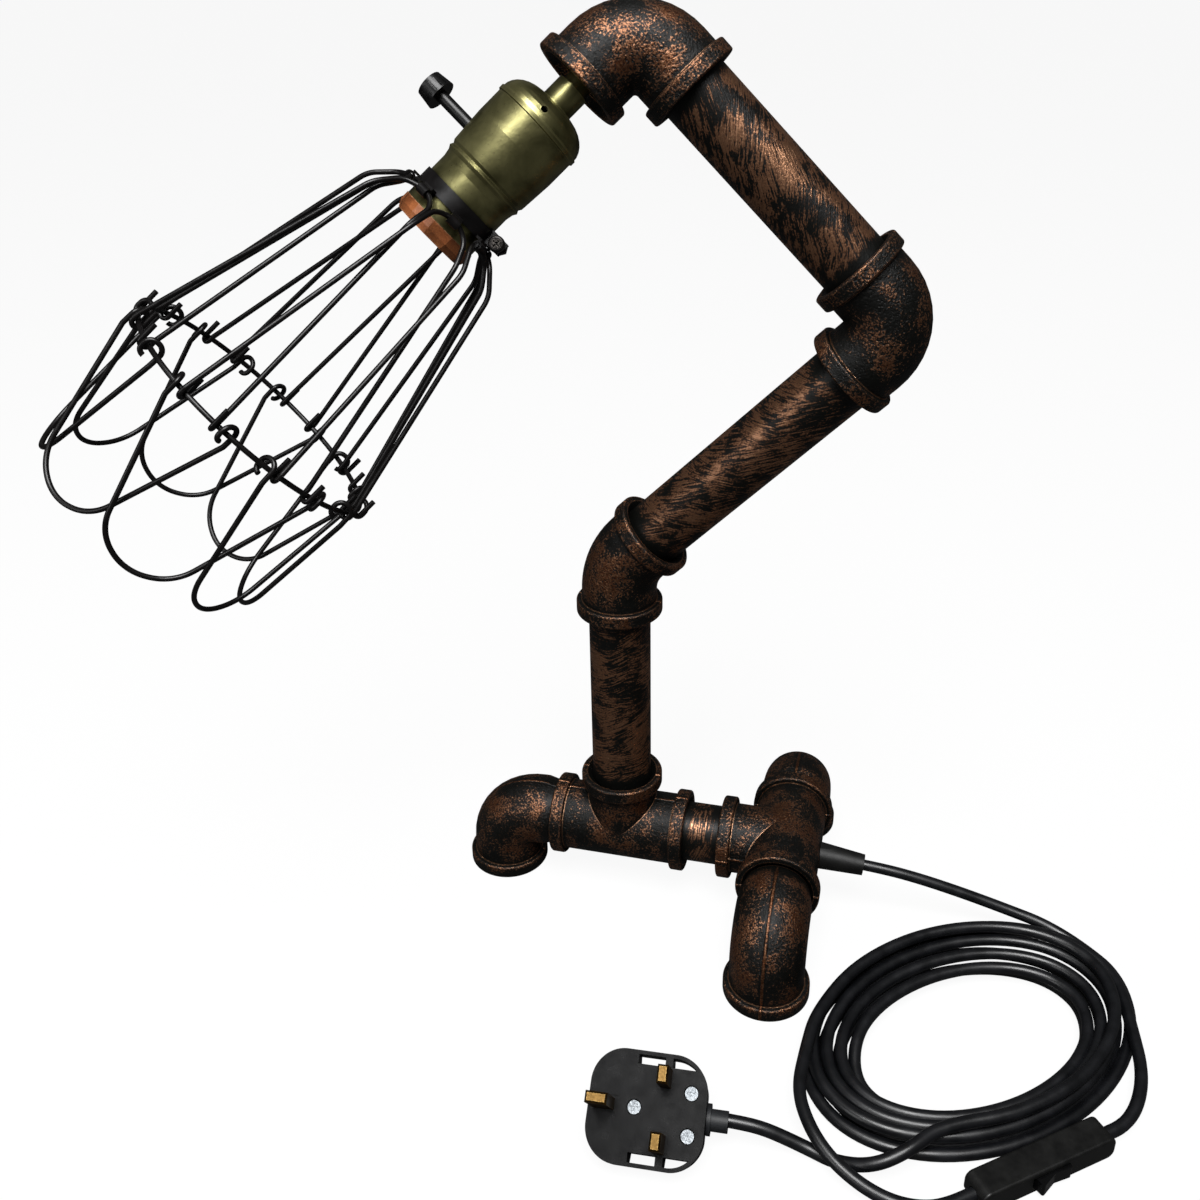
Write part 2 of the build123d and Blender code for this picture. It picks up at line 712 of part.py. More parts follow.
def collar_tab(outer):
    """A short strip from the collar's edge, rolled round the middle of a hairpin's bend."""
    roll_plane = Plane(origin=(hairpin_top_radius, 0, hairpin_top_station), x_dir=(1, 0, 0), z_dir=(0, 1, 0))
    half = tab_width / 2
    roll = at(roll_plane, rod(tab_roll_radius, -half, half))
    start = outer - collar_thickness / 2
    foot = Box(
        hairpin_top_radius - start, tab_width, collar_thickness,
        align=(Align.MIN, Align.CENTER, Align.CENTER),
    )
    tab = roll + Pos(start, 0, collar_start + collar_width - collar_thickness / 2) * foot
    return tab - at(roll_plane, rod(wire_radius + wire_gap, -half - 1, half + 1))


def collar_screw():
    """Cross-recessed pan-head screw through the ears."""
    reach = ear_split / 2 + ear_thickness
    plane = ear_plane()
    body = rod(screw_radius, -reach - nut_height - screw_spare, reach)
    dome = rod(screw_head_radius, reach, reach + screw_head_height)
    dome = fillet(dome.edges().sort_by(Axis.Z)[-1], screw_head_round)
    for turn in (0, 90):
        dome -= Pos(0, 0, reach + screw_head_height) * Rot(0, 0, turn) * Box(*screw_slot)
    return at(plane, Pos(screw_centre(), 0, 0) * (body + dome))


def collar_nut():
    """Hexagon nut on the screw's end."""
    reach = ear_split / 2 + ear_thickness
    hexagon = RegularPolygon(nut_flats / 2, 6, major_radius=False)
    nut = Pos(0, 0, -reach - nut_height) * extrude(hexagon, amount=nut_height)
    nut -= rod(screw_radius, -reach - nut_height - 1, -reach + 1)
    return at(ear_plane(), Pos(screw_centre(), 0, 0) * nut)


def hairpin():
    """A long wire loop from the collar to the ring. One leg ends outside the ring and one inside,
    so that neighbouring loops cross without touching. Its middle is in the XZ plane."""
    turn = radians(hairpin_half_span)
    leg_x = ring_radius * cos(turn)
    leg_y = ring_radius * sin(turn)
    out = Vector(cos(turn), sin(turn), 0)
    shoulder_x, shoulder_y, shoulder_drop = hairpin_shoulder
    bend_x, bend_y, bend_drop = hairpin_bend
    points = []
    for side in (1, -1):
        foot = Vector(leg_x, side * leg_y, ring_station)
        radial = Vector(out.X, side * out.Y, 0) * (side * hook_offset)
        hook = [
            foot - radial - Vector(0, 0, hook_tail),
            foot - radial + Vector(0, 0, hook_offset),
            foot + radial + Vector(0, 0, hook_offset),
            foot + radial - Vector(0, 0, 1.5),
            Vector(
                shoulder_x + side * hairpin_shoulder_offset,
                side * shoulder_y,
                hairpin_top_station + shoulder_drop,
            ),
            Vector(bend_x + side * hairpin_bend_offset, side * bend_y, hairpin_top_station + bend_drop),
            Vector(hairpin_top_radius, side * tab_width * 0.62, hairpin_top_station),
        ]
        points += hook if side == 1 else list(reversed(hook))
    bend = 0.97 * hook_offset
    half = [bend, bend, 3.0, 12.0, 7.0, 3.0]
    return wire_solid(points, half + list(reversed(half)), wire_radius)


def petal_tip(leg_x, leg_y):
    """Corners of a round tip: lines that touch a circle, from one leg's start to the other's."""
    centre_y = petal_length - petal_tip_radius
    reach = Vector(leg_x, centre_y - leg_y, 0).length
    leg_slope = atan2(centre_y - leg_y, leg_x) + asin(petal_tip_radius / reach)
    first = pi / 2 - leg_slope
    step = (pi / 2 - first) / 3
    corner = petal_tip_radius / cos(step)
    return corner * cos(first + step), centre_y + corner * sin(first + step), centre_y + corner


def petal():
    """A short wire loop below the ring, hooked on it at both ends. The hooks turn about the chord
    between them. One leg leaves its hook outside and one inside, as in an iris."""
    half_chord = ring_radius * sin(radians(petal_half_span))
    hook = petal_hook_radius
    leg_start = hook + 1.2
    corner_x, corner_y, end_y = petal_tip(half_chord, leg_start)
    points = []
    for side in (1, -1):
        z = side * hook
        x = side * half_chord
        end = [
            Vector(x, hook, -0.2 * z),
            Vector(x, hook, -z),
            Vector(x, -hook, -z),
            Vector(x, -hook, z),
            Vector(x, leg_start, z),
            Vector(side * corner_x, corner_y, z * corner_x / half_chord),
        ]
        points += end + [Vector(0, end_y, 0)] if side == 1 else list(reversed(end))
    bend = 0.93 * hook
    tip = 0.97 * petal_tip_radius
    half = [0.75 * hook, bend, bend, 3.0, tip]
    loop = wire_solid(points, half + [tip] + list(reversed(half)), wire_radius)
    return petal_plane().location * loop


def petal_plane():
    """The frame of a petal: X along its hinge chord, Y down the petal, Z outwards."""
    lean_in = radians(petal_lean)
    chord = Vector(ring_radius * cos(radians(petal_half_span)), 0, ring_station)
    outwards = Vector(cos(lean_in), 0, sin(lean_in))
    return Plane(origin=chord, x_dir=(0, 1, 0), z_dir=outwards)


# ---------------------------------------------------------------- cord and what is on it
def make_cord():
    sleeve_tip = sleeve_end(0)
    routes = {
        "cord_lead": (gland_tip()[0],) + lead_route,
        "cord_tail": tail_route + (sleeve_end(tail_sleeve_run), sleeve_tip),
    }
    nodes = {"cord_coil": cord_coil() - inline_envelope()}
    for name, route in routes.items():
        radii = arc_radii(route)
        nodes[name] = wire_solid(route, radii, flex_radius)
        print(name, "arc radii", [round(r, 1) for r in radii])
    nodes.update(inline_switch())
    nodes.update(plug())
    return nodes


def sleeve_end(further):
    """A point on the plug sleeve's axis, that far beyond the sleeve's tip."""
    tip = Vector(plug_half_length + plug_sleeve_length + further, 0, plug_cord_level)
    place = plug_plane().from_local_coords(tip)
    return (place.X, place.Y, place.Z)


def coil_outline(radii):
    """A closed outline of straight runs and arcs, with a corner at each radius round the coil's middle."""
    corners = []
    for i, radius in enumerate(radii):
        turn = radians(i * coil_step)
        corners.append((coil_centre[0] + radius * cos(turn), coil_centre[1] + radius * sin(turn)))
    outline = make_face(Polyline(*corners, close=True))
    return fillet(outline.vertices(), coil_corner)


def cord_coil():
    """The hank's outer shape: an uneven ring with rounded edges."""
    outside = extrude(coil_outline(coil_outer), amount=coil_height)
    outside = fillet(outside.faces().sort_by(Axis.Z)[-1].edges(), coil_edge)
    hole = Pos(0, 0, -1) * extrude(coil_outline(coil_inner), amount=coil_height + 2)
    return outside - hole


def inline_plane():
    """The inline switch's frame on the table: X along it, -Y towards its rocker."""
    return Plane(Pos(*inline_centre, 0) * Rot(0, 0, inline_turn))


def inline_envelope():
    size = (inline_length + 2 * inline_clearance, inline_depth + 2 * inline_clearance, 4 * inline_height)
    return at(inline_plane(), Box(*size))


def inline_switch():
    """Two moulded shells, split upright along the length, and a rocker in the long side."""
    shell = block(inline_length, inline_depth, inline_height)
    shell = fillet(shell.edges().filter_by(Axis.Y), inline_corner)
    shell = fillet(shell.faces().sort_by(Axis.Y)[0].edges(), inline_edge)
    shell = fillet(shell.faces().sort_by(Axis.Y)[-1].edges(), inline_edge)
    room = [size - 2 * inline_wall for size in (inline_length, inline_depth, inline_height)]
    window = (rocker_length + 2 * rocker_end_gap, 4 * inline_wall, rocker_width + 2 * rocker_gap)
    shell -= Pos(0, 0, inline_wall) * block(*room)
    shell -= Pos(0, -inline_depth / 2, inline_height / 2) * Box(*window)
    cord_hole = Cylinder(flex_radius + flex_gap, 2 * inline_length)
    shell -= Pos(0, 0, inline_height / 2) * Rot(0, 90, 0) * cord_hole
    behind = block(2 * inline_length, 2 * inline_depth, 2 * inline_height)
    behind = Pos(0, inline_split + inline_depth, 0) * behind
    back = shell & behind
    cover = shell - behind
    post_place = Pos(0, (inline_depth - inline_post[1]) / 2 - inline_wall, inline_wall)
    contact_post = post_place * block(*inline_post, inline_height - 2 * inline_wall)
    return {
        "inline_base": at(inline_plane(), back + contact_post),
        "inline_cover": at(inline_plane(), cover),
        "inline_rocker": at(rocker_plane(), rocker()),
    }


def rocker_plane():
    """The rocker's frame at rest: origin on its pivot, -Y outwards, tilted to one side."""
    pivot = Pos(0, -inline_depth / 2 - rocker_proud + rocker_pivot_depth, inline_height / 2)
    return Plane(inline_plane().location * pivot * Rot(0, 0, rocker_tilt))


def rocker():
    """A rocker on a pin, with a V-shaped face."""
    reach = rocker_pivot_depth
    half = rocker_length / 2
    face = [(-half, -reach), (0, rocker_valley - reach), (half, -reach), (half, rocker_depth - reach),
            (-half, rocker_depth - reach)]
    body = extrude(make_face(Polyline(*face, close=True)), amount=rocker_width / 2, both=True)
    ends = body.edges().filter_by(Axis.Z).group_by(Axis.Y)[0]
    body = fillet(ends, rocker_edge)
    pin = Cylinder(rocker_pin_radius, rocker_width)
    arm = Pos(0, (rocker_valley - reach) / 2, 0) * Box(rocker_arm, reach - rocker_valley, rocker_width)
    return body + arm + pin


def plug_plane():
    """The plug's frame: X towards its cord, Z out of its pin face."""
    slope = radians(plug_tilt)
    lift = (plug_half_width - plug_cover_inset) * sin(slope) + plug_side_height * cos(slope)
    place = Pos(*plug_centre, lift) * Rot(0, 0, plug_turn) * Rot(plug_tilt, 0, 0)
    return Plane(place)


def plug_outline(inset):
    """Rounded outline of the plug, moved inwards by the inset."""
    width = 2 * (plug_half_length - inset)
    height = 2 * (plug_half_width - inset)
    return RectangleRounded(width, height, plug_corner - inset)


def plug_gaps(start, end):
    """The two finger gaps between the body and the rims beside it."""
    inside = Pos(0, 0, start) * extrude(plug_outline(plug_rim), amount=end - start)
    body = Pos(0, 0, start) * block(4 * plug_half_length, 2 * plug_body_half_width, end - start)
    rib = Pos(plug_rib_x, 0, start) * block(2 * plug_rib_half_width, 4 * plug_half_width, end - start)
    closed_end = Pos(plug_gap_start - 2 * plug_half_length, 0, start) * block(
        4 * plug_half_length, 4 * plug_half_width, end - start
    )
    return inside - body - rib - closed_end


def pin_places():
    """Earth, line and neutral pins: place, section and length out of the face."""
    return (
        (earth_pin_x, 0, earth_pin_section, earth_pin_length),
        (line_pin_x, line_pin_y, line_pin_section, line_pin_length),
        (line_pin_x, -line_pin_y, line_pin_section, line_pin_length),
    )


def plug_cover():
    """The plug's back: an outline that falls away along both long sides, hollow behind the face."""
    side = plug_half_width - plug_cover_inset
    back = side - (plug_cover_thickness - plug_side_height) / tan(radians(plug_tilt))
    section = [
        (-side, 0),
        (-side, -plug_side_height),
        (-back, -plug_cover_thickness),
        (back, -plug_cover_thickness),
        (side, -plug_side_height),
        (side, 0),
    ]
    prism = extrude(Plane.YZ * make_face(Polyline(*section, close=True)), amount=plug_half_length, both=True)
    outline = extrude(plug_outline(plug_cover_inset), amount=-plug_cover_thickness)
    cover = prism & outline
    ends = cover.edges().filter_by(Axis.Y).group_by(Axis.Z)[0]
    cover = fillet(ends, plug_cover_edge) - plug_gaps(-plug_cover_thickness - 1, 1)
    room_length = 2 * (plug_half_length - plug_end_wall)
    room = Pos(0, 0, -plug_room_depth / 2) * Box(room_length, 2 * plug_room_half_width, plug_room_depth)
    sleeve_hole = rod(plug_sleeve_radius + plug_sleeve_gap, -2 * plug_end_wall, plug_end_wall)
    return cover - room - at(plug_sleeve_plane(), sleeve_hole)


def plug_sleeve_plane():
    """The frame of the plug's sleeve in the plug's own frame, +Z towards the cord."""
    return Plane(origin=(plug_half_length, 0, plug_cord_level), x_dir=(0, 1, 0), z_dir=(1, 0, 0))


def plug_sleeve():
    """A short sleeve with a flange outside the end wall and a lip inside it."""
    lip_end = -plug_end_wall - plug_sleeve_gap
    sleeve = rod(plug_sleeve_radius, lip_end - plug_sleeve_lip_thickness, plug_sleeve_length)
    sleeve += rod(plug_sleeve_flange, plug_sleeve_gap, plug_sleeve_flange_thickness)
    sleeve += rod(plug_sleeve_lip, lip_end - plug_sleeve_lip_thickness, lip_end)
    sleeve -= rod(flex_radius + flex_gap, -2 * plug_end_wall, plug_sleeve_length + 1)
    return at(plug_sleeve_plane(), sleeve)


def plug_pin(x, y, section, length):
    """A rectangular pin with a chamfered tip, held in the face and the room behind it."""
    width, height = section
    root = plug_face_thickness - pin_root
    pin = Pos(x, y, root) * block(width, height, length + pin_root)
    return chamfer(pin.faces().sort_by(Axis.Z)[-1].edges(), pin_chamfer)


def plug_screw(x, y):
    """A sunk screw with a cross slot."""
    top = plug_face_thickness - plug_screw_sink
    screw = Pos(x, y, 0) * rod(plug_screw_radius, plug_face_thickness - plug_screw_depth, top)
    for turn in (0, 90):
        screw -= Pos(x, y, top) * Rot(0, 0, turn) * Box(*plug_screw_slot)
    return screw


def plug_face():
    """The pin face: finger gaps, a shallow frame round each pin, and the screws' holes."""
    face = extrude(plug_outline(0), amount=plug_face_thickness) - plug_gaps(-1, plug_face_thickness + 1)
    for x, y, (width, height), _ in pin_places():
        frame = Box(width + 2 * pin_recess_margin, height + 2 * pin_recess_margin, 2 * pin_recess)
        face -= Pos(x, y, plug_face_thickness) * frame
        face -= Pos(x, y, plug_face_thickness / 2) * Box(width, height, 2 * plug_face_thickness)
    for x, y in plug_screw_places:
        hole = rod(plug_screw_hole, plug_face_thickness - plug_screw_depth, plug_face_thickness + 1)
        face -= Pos(x, y, 0) * hole
    return face


def plug():
    """A three-pin plug that its owner wires, with a cartridge fuse behind the face."""
    fuse = Pos(-fuse_shift, 0, -fuse_radius - fuse_gap) * Rot(0, 90, 0) * Cylinder(fuse_radius, fuse_length)
    pieces = {
        "plug_face": plug_face(),
        "plug_cover": plug_cover(),
        "plug_pins": Compound(children=[plug_pin(*place) for place in pin_places()]),
        "plug_screws": Compound(children=[plug_screw(*place) for place in plug_screw_places]),
        "plug_fuse": fuse,
        "plug_sleeve": plug_sleeve(),
    }
    return {name: at(plug_plane(), shape) for name, shape in pieces.items()}


# ---------------------------------------------------------------- put it together
cord_names = (
    "cord_lead", "cord_coil", "cord_tail", "inline_base", "inline_cover", "inline_rocker",
    "plug_face", "plug_cover", "plug_pins", "plug_screws", "plug_fuse", "plug_sleeve",
)


def make_all():
    nodes = {}
    for group in (make_base(), make_arm(), make_lampholder(), make_cage(), make_cord()):
        nodes.update(group)
    return nodes


def lamp_origin(nodes):
    """The middle of the bottom of the lamp's own box, in the frame that it is built in."""
    boxes = [shape.bounding_box() for name, shape in nodes.items() if name not in cord_names]
    low_x = min(box.min.X for box in boxes)
    high_x = max(box.max.X for box in boxes)
    low_y = min(box.min.Y for box in boxes)
    high_y = max(box.max.Y for box in boxes)
    return Vector((low_x + high_x) / 2, (low_y + high_y) / 2, 0)


def main():
    os.makedirs("parts", exist_ok=True)
    nodes = make_all()
    origin = lamp_origin(nodes)
    print("origin", origin)
    for name, shape in nodes.items():
        moved = Pos(-origin.X, -origin.Y, 0) * shape
        export_step(moved, f"parts/{name}.step")


main()
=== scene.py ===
import json
import math

import bpy
import numpy as np
from mathutils import Matrix, Vector


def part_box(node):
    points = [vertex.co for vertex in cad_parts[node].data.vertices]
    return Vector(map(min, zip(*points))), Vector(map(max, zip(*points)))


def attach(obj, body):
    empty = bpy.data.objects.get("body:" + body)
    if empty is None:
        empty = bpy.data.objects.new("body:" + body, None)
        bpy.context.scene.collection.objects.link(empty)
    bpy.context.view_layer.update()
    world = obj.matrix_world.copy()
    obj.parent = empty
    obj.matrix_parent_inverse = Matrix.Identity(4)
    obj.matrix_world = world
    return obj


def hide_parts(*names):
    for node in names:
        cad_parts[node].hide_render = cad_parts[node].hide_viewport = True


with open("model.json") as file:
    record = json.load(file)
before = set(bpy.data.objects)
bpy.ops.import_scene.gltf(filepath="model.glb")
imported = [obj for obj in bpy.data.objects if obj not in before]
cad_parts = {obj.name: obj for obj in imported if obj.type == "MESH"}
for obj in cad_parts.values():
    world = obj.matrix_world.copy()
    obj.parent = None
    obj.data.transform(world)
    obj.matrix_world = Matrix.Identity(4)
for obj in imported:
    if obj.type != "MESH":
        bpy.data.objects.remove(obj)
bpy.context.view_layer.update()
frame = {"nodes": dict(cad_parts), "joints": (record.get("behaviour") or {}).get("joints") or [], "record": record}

# In metres: where the column's axis stands in the shared frame, and the camera's place from there.
COLUMN = (0.0345604, 0.031782)
CAMERA_FROM_COLUMN = (0.11488, -0.4471, 0.4076)


# ---------------------------------------------------------------- camera
def make_camera():
    """The camera stands before the lamp, a little to its right, and looks down on it. Its lens is shifted."""
    yaw, pitch, roll = math.radians(-14.24), math.radians(25.88), math.radians(-0.76)
    forward = Vector((math.sin(yaw) * math.cos(pitch), math.cos(yaw) * math.cos(pitch), -math.sin(pitch)))
    level = Vector((math.cos(yaw), -math.sin(yaw), 0))
    upright = level.cross(forward)
    right = level * math.cos(roll) + upright * math.sin(roll)
    up = upright * math.cos(roll) - level * math.sin(roll)
    data = bpy.data.cameras.new("camera")
    data.sensor_width = 36
    data.lens = 36.516
    data.shift_x = -0.0182
    data.shift_y = -0.0573
    data.clip_start = 0.01
    camera = bpy.data.objects.new("camera", data)
    bpy.context.scene.collection.objects.link(camera)
    place = Matrix((right, up, -forward)).transposed().to_4x4()
    x, y, z = CAMERA_FROM_COLUMN
    place.translation = (x + COLUMN[0], y + COLUMN[1], z)
    camera.matrix_world = place
    bpy.context.scene.camera = camera


make_camera()

# ---------------------------------------------------------------- flex: gland, coil, inline switch, plug
# The flex's thickness in metres.
FLEX = 0.005
# Control points are in millimetres: x and y from the column's axis, then the height over the table.
# They are listed where the flex isn't coiled.
WAY_IN = [(113.35, 0, 25.94), (124.5, 0.3, 24.9), (138, 1, 22.2), (152, 1.9, 18.4), (166, 2.4, 14.4),
          (180, 2, 10.8), (194.5, 0, 8.2), (210, -7, 5.2)]
# The outermost and the innermost turn are ovals: middle x and y, half length, half width, tilt in degrees.
OUTER_OVAL = np.array([161, -63.5, 79, 54, 43])
INNER_OVAL = np.array([161.5, -71.5, 52, 32, 37])
POINTS_A_TURN = 12
LOWER_LAYER = dict(first=30, turns=3.5, share_first=0, share_last=1, height=2.6)
UPPER_LAYER = dict(first=180, turns=3.5, share_first=1, share_last=0.12, height=7.6)
TOP_LAYER = dict(first=180, turns=0.75, share_first=0.3, share_last=0.45, height=12.6)
# The inline switch. Its run is distances along its length from its middle, where the flex goes straight.
SWITCH_MIDDLE, SWITCH_MIDDLE_HEIGHT, SWITCH_TURN = (186.6, -121.9), 5, math.radians(37)
WAY_TO_SWITCH = [(227.5, -76, 7)]
SWITCH_RUN = (43, 25, -25, -42)
WAY_UP = [(143.7, -150.2, 5.2), (133.4, -149.7, 5.2), (122.6, -146, 6), (111.6, -140, 8.6),
          (102.9, -130.4, 11.2), (97.1, -116.6, 12.4), (98.3, -97.3, 12.6)]
WAY_OUT = [(140, -133, 12.4), (127.5, -139.5, 8), (114.1, -137.5, 3.2), (104, -134.6, 3.8),
           (94.5, -134.4, 7.2), (87.5, -134.8, 9.9), (80.6, -135.2, 11.2), (73.6, -135.6, 11.5)]


def wind(first, turns, share_first, share_last, height):
    """Turns of the coil from the first angle in degrees, clockwise as seen from above.

    The share is the inner oval's: 0 is the outermost turn and 1 the innermost.
    """
    count = round(turns * POINTS_A_TURN)
    points = []
    for i in range(count + 1):
        share = share_first + (share_last - share_first) * i / count
        x, y, half_length, half_width, tilt = OUTER_OVAL * (1 - share) + INNER_OVAL * share
        angle, tilt = math.radians(first - 360 * i / POINTS_A_TURN - tilt), math.radians(tilt)
        along, across = half_length * math.cos(angle), half_width * math.sin(angle)
        points.append((x + along * math.cos(tilt) - across * math.sin(tilt),
                       y + along * math.sin(tilt) + across * math.cos(tilt), height))
    return points


def make_flex():
    """One smooth line from the gland, round the coil, through the inline switch and to the plug's sleeve."""
    through = [(SWITCH_MIDDLE[0] + s * math.cos(SWITCH_TURN), SWITCH_MIDDLE[1] + s * math.sin(SWITCH_TURN),
                SWITCH_MIDDLE_HEIGHT) for s in SWITCH_RUN]
    route = np.array(WAY_IN + wind(**LOWER_LAYER) + wind(**UPPER_LAYER) + WAY_TO_SWITCH + through + WAY_UP
                     + wind(**TOP_LAYER) + WAY_OUT)
    route = route / 1000 + [COLUMN[0], COLUMN[1], 0]
    curve = bpy.data.curves.new("mains_flex", "CURVE")
    curve.dimensions = "3D"
    spline = curve.splines.new("NURBS")
    spline.points.add(len(route) - 1)
    spline.points.foreach_set("co", np.column_stack([route, np.ones(len(route))]).ravel())
    spline.points.foreach_set("radius", np.full(len(route), FLEX / 2))
    spline.order_u = 3
    spline.use_endpoint_u = True
    spline.resolution_u = 8
    curve.bevel_depth = 1.0
    curve.bevel_resolution = 4
    flex = bpy.data.objects.new("mains_flex", curve)
    bpy.context.scene.collection.objects.link(flex)
    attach(flex, "base")
    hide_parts("cord_lead", "cord_coil", "cord_tail")
    return flex


flex = make_flex()


# ---------------------------------------------------------------- node helpers
def linear(code):
    """An sRGB hex colour as linear light."""
    channels = [int(code[i:i + 2], 16) / 255 for i in (0, 2, 4)]
    return [c / 12.92 if c <= 0.04045 else ((c + 0.055) / 1.055) ** 2.4 for c in channels] + [1]


def feed(tree, socket, value):
    """Link another node's output to an input, or set the input to a value."""
    if isinstance(value, bpy.types.NodeSocket):
        tree.links.new(value, socket)
    else:
        socket.default_value = value


def add(tree, kind, inputs={}, **settings):
    """Add a shader node with its settings and inputs."""
    node = tree.nodes.new("ShaderNode" + kind)
    for name, value in settings.items():
        setattr(node, name, value)
    for name, value in inputs.items():
        feed(tree, node.inputs[name], value)
    return node


def noise(tree, place, size_mm, detail, **inputs):
    """Noise with lumps of about this size, between 0 and 1."""
    node = add(tree, "TexNoise", {"Vector": place, "Scale": 1000 / size_mm, "Detail": detail, **inputs})
    return node.outputs["Fac"]


def span(tree, value, from_low, from_high, to_low=0.0, to_high=1.0):
    """The value carried from one range to another and held inside it."""
    return add(tree, "MapRange", {"Value": value, "From Min": from_low, "From Max": from_high,
                                  "To Min": to_low, "To Max": to_high}).outputs[0]


def weigh(tree, total, *terms):
    """The total plus each value times its weight."""
    for value, weight in terms:
        total = add(tree, "Math", {0: value, 1: weight, 2: total}, operation="MULTIPLY_ADD").outputs[0]
    return total


def mix(tree, share, first, second):
    """The first colour where the share is 0 and the second where it is 1."""
    first, second = (linear(colour) if isinstance(colour, str) else colour for colour in (first, second))
    return add(tree, "MixRGB", {0: share, 1: first, 2: second}).outputs[0]


def raised(tree, height, strength, depth_mm):
    """A normal bent as if the surface stood out by the height times the depth."""
    return add(tree, "Bump", {"Height": height, "Strength": strength, "Distance": depth_mm / 1000}).outputs[0]


def new_material(name):
    """An empty material with its coordinates in metres and its Principled shader, joined to its output."""
    material = bpy.data.materials.new(name)
    material.use_nodes = True
    tree = material.node_tree
    tree.nodes.clear()
    place = add(tree, "TexCoord").outputs["Object"]
    shader = add(tree, "BsdfPrincipled")
    add(tree, "OutputMaterial", {"Surface": shader.outputs[0]})
    return material, tree, place, shader


def connect(tree, shader, **sockets):
    """Feed the shader's inputs, named with underscores for spaces."""
    for name, value in sockets.items():
        feed(tree, shader.inputs[name.replace("_", " ")], value)


# ---------------------------------------------------------------- materials
COPPER_DARK, COPPER_LIGHT = "6e4026", "d6a27e"
ENAMEL_DARK, ENAMEL_LIGHT = "020202", "0b0c08"
BRASS_DARK, BRASS_LIGHT = "454425", "b4ae78"
# The side that a pipe's brush strokes are laid out from.
FRONT = Vector((0.22, -0.87, 0.44))
# Two layers of strokes, each with its length, depth and width in metres, and the degrees between them.
LONG_STROKES, SHORT_STROKES, CROSSING = (0.0085, 0.006, 0.00062), (0.006, 0.005, 0.0005), 24


def edge_share(tree):
    """1 along edges and 0 on flat faces: near an edge the bevelled normal leaves the true one."""
    rounded = add(tree, "Bevel", {"Radius": 0.0011}, samples=6).outputs[0]
    true = add(tree, "NewGeometry").outputs["Normal"]
    same = add(tree, "VectorMath", {0: rounded, 1: true}, operation="DOT_PRODUCT").outputs["Value"]
    return span(tree, same, 0.99, 0.86)


def ambient_light_reach(tree, reach_mm):
    """1 in the open and lower in grooves and under bands, where less ambient light reaches."""
    return add(tree, "AmbientOcclusion", {"Distance": reach_mm / 1000}, samples=8).outputs["AO"]


def rubbed_lacquer(tree, shader, lacquer, tone, grain, height, depth_mm):
    """Copper lacquer over black enamel under a thin clear coat.

    Lacquer says where the copper is, tone how light it is, and grain shades the enamel.
    """
    colour = mix(tree, lacquer, mix(tree, grain, ENAMEL_DARK, ENAMEL_LIGHT),
                 mix(tree, tone, COPPER_DARK, COPPER_LIGHT))
    rough = span(tree, lacquer, 0, 1, 0.42, 0.36)
    connect(tree, shader, Base_Color=colour, Roughness=rough, Metallic=lacquer, Specular_IOR_Level=0.3,
            Normal=raised(tree, height, 0.8, depth_mm), Coat_Weight=0.08, Coat_Roughness=0.3)


def cast_iron(name, seam_point, seam_normal):
    """Malleable iron casting: pitted skin, black enamel, and copper lacquer rubbed over what stands proud.

    The lacquer shows where grain + patches + edges - hollows is high, and along the mould's parting line.
    """
    material, tree, place, shader = new_material(name)
    patches = noise(tree, place, 13, detail=2)
    grain = noise(tree, place, 0.8, detail=3, Roughness=0.6)
    dents = noise(tree, place, 2.6, detail=3)
    pits = add(tree, "TexVoronoi", {"Vector": place, "Scale": 1000 / 1.2}, feature="F1")
    pit = span(tree, pits.outputs["Distance"], 0.34, 0.14)
    edge = edge_share(tree)
    # Less copper where ambient light is blocked, so the black shows in hollows and under bands: painted shade.
    unshaded = ambient_light_reach(tree, 6)
    offset = add(tree, "VectorMath", {0: place, 1: seam_point}, operation="SUBTRACT")
    away = add(tree, "VectorMath", {0: offset.outputs[0], 1: seam_normal}, operation="DOT_PRODUCT")
    away = add(tree, "Math", {0: away.outputs["Value"]}, operation="ABSOLUTE").outputs[0]
    seam = span(tree, away, 0.0009, 0.0003)
    flank = span(tree, away, 0.0022, 0.001)

    total = weigh(tree, grain, (patches, 0.9), (dents, 0.3), (edge, 1.5), (unshaded, 0.9), (pit, -0.22),
                  (flank, -0.1), (seam, 0.45))
    lacquer = span(tree, total, 2.01, 2.12)
    tone = span(tree, weigh(tree, grain, (edge, 0.6)), 0.42, 0.85)
    height = weigh(tree, grain, (dents, 0.7), (pit, -0.35), (seam, 1.1))
    rubbed_lacquer(tree, shader, lacquer, tone, grain, height, 0.5)
    return material


